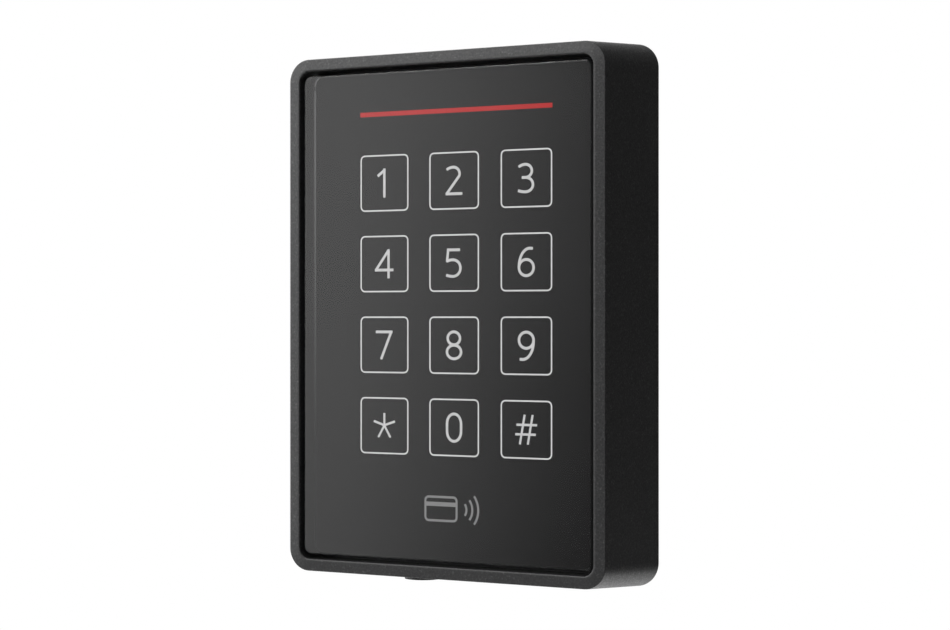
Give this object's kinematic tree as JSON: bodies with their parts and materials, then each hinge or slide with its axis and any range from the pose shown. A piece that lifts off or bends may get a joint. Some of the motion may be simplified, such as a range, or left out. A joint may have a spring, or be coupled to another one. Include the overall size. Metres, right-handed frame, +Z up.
{
  "type": "keypad access reader",
  "caption": "Wall-mounted touch keypad and card reader: drafted housing, smoked window with backlit keys, and a front that tilts off its wall plate.",
  "frame": {"origin": "middle of the wall-contact plane, at the centre of the wall plate's screw pattern", "axes": "+Z up, +X to the right seen from the front, the front faces -Y and +Y points into the wall"},
  "size_m": [0.0896, 0.0247, 0.127],
  "materials": {
    "plate_plastic": "moulded, fine texture",
    "housing_plastic": "fine spark-eroded texture, charcoal black",
    "smoked_window": "polished smoked polycarbonate",
    "mask_film": "screen-printed satin black film",
    "legend_white": "translucent white inlay",
    "status_red": "translucent red light pipe",
    "symbol_grey": "grey print",
    "adhesive_black": "black foam adhesive tape",
    "light_guide_clear": "clear acrylic with a frosted rear",
    "board_black": "black solder mask",
    "pad_copper": "copper foil",
    "led_white": "moulded diode package",
    "led_red": "moulded diode package",
    "ferrite_grey": "pressed ferrite sheet",
    "fastener_steel": "zinc-plated steel",
    "board_green": "green solder mask",
    "connector_black": "moulded connector body",
    "chip_black": "moulded epoxy package",
    "can_metal": "drawn metal can",
    "terminal_grey": "moulded glass-filled nylon",
    "contact_tin": "tinned copper alloy",
    "cover_plastic": "moulded, satin",
    "gasket_rubber": "soft black rubber",
    "vent_fabric": "white membrane",
    "security_steel": "blackened stainless steel",
    "plunger_white": "white acetal",
    "button_orange": "orange moulded plastic"
  },
  "bodies": {
    "wall_plate": {"wall_plate": "plate_plastic"},
    "reader": {"front_housing": "housing_plastic", "front_window": "smoked_window", "legend_mask": "mask_film", "key_1": "legend_white", "key_2": "legend_white", "key_3": "legend_white", "key_4": "legend_white", "key_5": "legend_white", "key_6": "legend_white", "key_7": "legend_white", "key_8": "legend_white", "key_9": "legend_white", "key_star": "legend_white", "key_0": "legend_white", "key_hash": "legend_white", "status_light_bar": "status_red", "card_symbol": "symbol_grey", "window_adhesive": "adhesive_black", "light_guide": "light_guide_clear", "touch_board": "board_black", "touch_pads": "pad_copper", "key_leds": "led_white", "status_leds": "led_red", "antenna_coil": "pad_copper", "ferrite_sheet": "ferrite_grey", "board_spacers": "fastener_steel", "main_board": "board_green", "board_connector": "connector_black", "controller_chip": "chip_black", "radio_chip": "chip_black", "line_transceiver": "chip_black", "power_regulator": "chip_black", "sounder": "chip_black", "tamper_switch": "chip_black", "wireless_module": "can_metal", "clock_crystal": "can_metal", "storage_capacitor": "can_metal", "terminal_block": "terminal_grey", "terminal_contacts": "contact_tin", "board_screws": "fastener_steel", "rear_cover": "cover_plastic", "rear_gasket": "gasket_rubber", "rear_cover_screws": "fastener_steel", "vent_membrane": "vent_fabric"},
    "lock_screw": {"lock_screw": "security_steel", "screw_retainer": "security_steel"},
    "clamp_nut": {"clamp_nut": "security_steel"},
    "tamper_plunger": {"tamper_plunger": "plunger_white"},
    "release_button_1": {"release_button_1": "button_orange"},
    "release_button_2": {"release_button_2": "button_orange"},
    "release_button_3": {"release_button_3": "button_orange"},
    "release_button_4": {"release_button_4": "button_orange"},
    "release_button_5": {"release_button_5": "button_orange"},
    "release_button_6": {"release_button_6": "button_orange"}
  },
  "joints": [
    {"name": "front_tilt", "type": "hinge", "parent": "wall_plate", "child": "reader", "pos_m": [0, -0.0029, 0.0606], "axis": [-1, 0, 0], "range_deg": [0, 9.5]},
    {"name": "lock_screw_turn", "type": "hinge", "parent": "reader", "child": "lock_screw", "pos_m": [-0.01225, -0.01235, -0.06], "axis": [0, 0, -1], "range_deg": [0, 1085]},
    {"name": "clamp_nut_slide", "type": "slide", "parent": "reader", "child": "clamp_nut", "axis": [0, 0, 1], "range_m": [0, 0.0021]},
    {"name": "tamper_plunger_slide", "type": "slide", "parent": "reader", "child": "tamper_plunger", "axis": [0, 1, 0], "range_m": [0, 0.00101]},
    {"name": "release_button_1_press", "type": "slide", "parent": "reader", "child": "release_button_1", "axis": [0, -1, 0], "range_m": [0, 0.0008], "stiffness_N_per_m": 1500},
    {"name": "release_button_2_press", "type": "slide", "parent": "reader", "child": "release_button_2", "axis": [0, -1, 0], "range_m": [0, 0.0008], "stiffness_N_per_m": 1500},
    {"name": "release_button_3_press", "type": "slide", "parent": "reader", "child": "release_button_3", "axis": [0, -1, 0], "range_m": [0, 0.0008], "stiffness_N_per_m": 1500},
    {"name": "release_button_4_press", "type": "slide", "parent": "reader", "child": "release_button_4", "axis": [0, -1, 0], "range_m": [0, 0.0008], "stiffness_N_per_m": 1500},
    {"name": "release_button_5_press", "type": "slide", "parent": "reader", "child": "release_button_5", "axis": [0, -1, 0], "range_m": [0, 0.0008], "stiffness_N_per_m": 1500},
    {"name": "release_button_6_press", "type": "slide", "parent": "reader", "child": "release_button_6", "axis": [0, -1, 0], "range_m": [0, 0.0008], "stiffness_N_per_m": 1500}
  ],
  "couplings": [
    {"joint": "lock_screw_turn", "follows": "clamp_nut_slide", "rad_per_m": 8976},
    {"joint": "tamper_plunger_slide", "follows": "front_tilt", "m_per_rad": 0.0060311}
  ]
}
